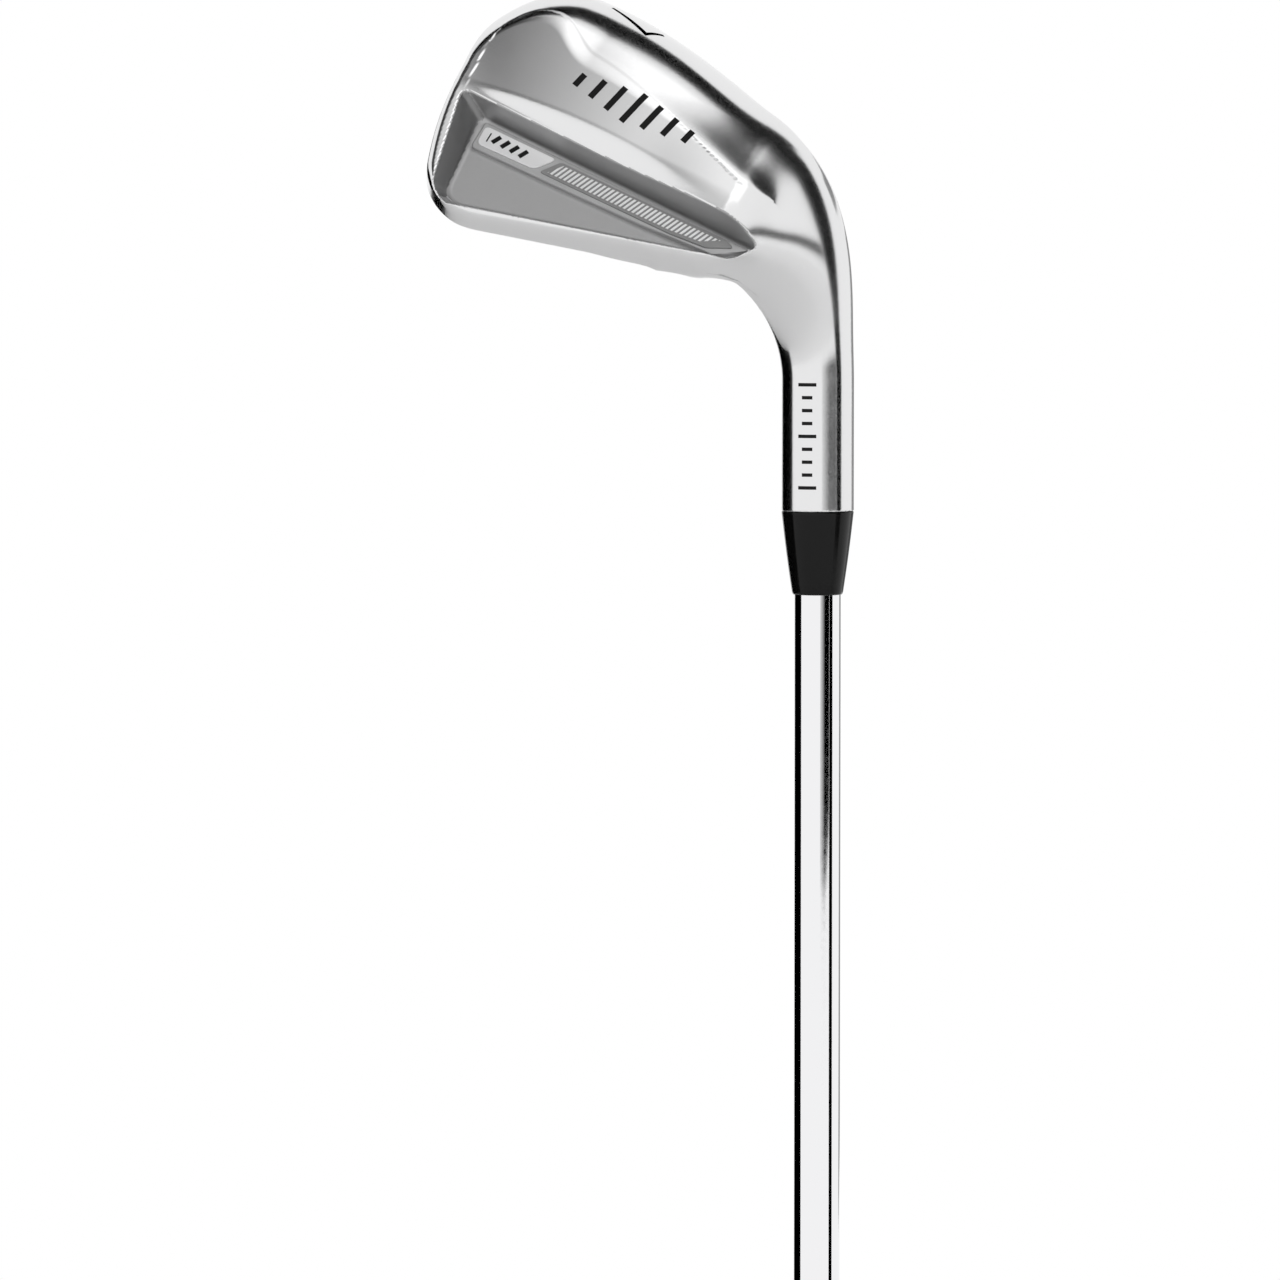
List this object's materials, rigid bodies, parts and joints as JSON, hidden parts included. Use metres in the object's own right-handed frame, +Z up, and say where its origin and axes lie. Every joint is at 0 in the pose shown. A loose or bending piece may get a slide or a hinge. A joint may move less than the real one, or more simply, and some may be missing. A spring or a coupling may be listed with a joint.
{
  "type": "iron golf club",
  "caption": "Right-handed cavity-back iron golf club: offset steel blade on a round hosel, black ferrule, stepped chromed tube shaft and tapered rubber grip.",
  "frame": {"origin": "centre of the butt cap's flat end face, on the shaft axis", "axes": "+Z up the shaft from the butt to the head, +Y the direction the ball is sent, -X the side the toe is on"},
  "size_m": [0.0884, 0.0471, 0.9668],
  "materials": {
    "satin_steel": "satin brushed",
    "badge_rubber": "matt",
    "badge_metal": "fine brushed",
    "badge_ribbed": "ribbed satin",
    "adhesive": "soft",
    "black_paint": "paint filled",
    "ferrule_black": "polished",
    "epoxy": "cured",
    "brass": "turned",
    "chrome": "mirror",
    "label": "printed film",
    "tape": "paper tape",
    "grip_rubber": "textured",
    "white_paint": "paint filled"
  },
  "bodies": {
    "root": {"head_body": "satin_steel", "badge_adhesive": "adhesive", "badge_base": "badge_rubber", "badge_number_plate": "badge_metal", "badge_rib_plate": "badge_ribbed", "badge_mark_fill": "black_paint", "sole_number_fill": "black_paint", "muscle_mark_fill": "black_paint", "hosel_mark_fill": "black_paint", "ferrule": "ferrule_black", "hosel_epoxy": "epoxy", "tip_weight": "brass", "shaft": "chrome", "shaft_band": "label", "grip_tape": "tape", "grip_sleeve": "grip_rubber", "grip_mark_fill": "white_paint", "grip_cap": "grip_rubber"}
  },
  "joints": []
}
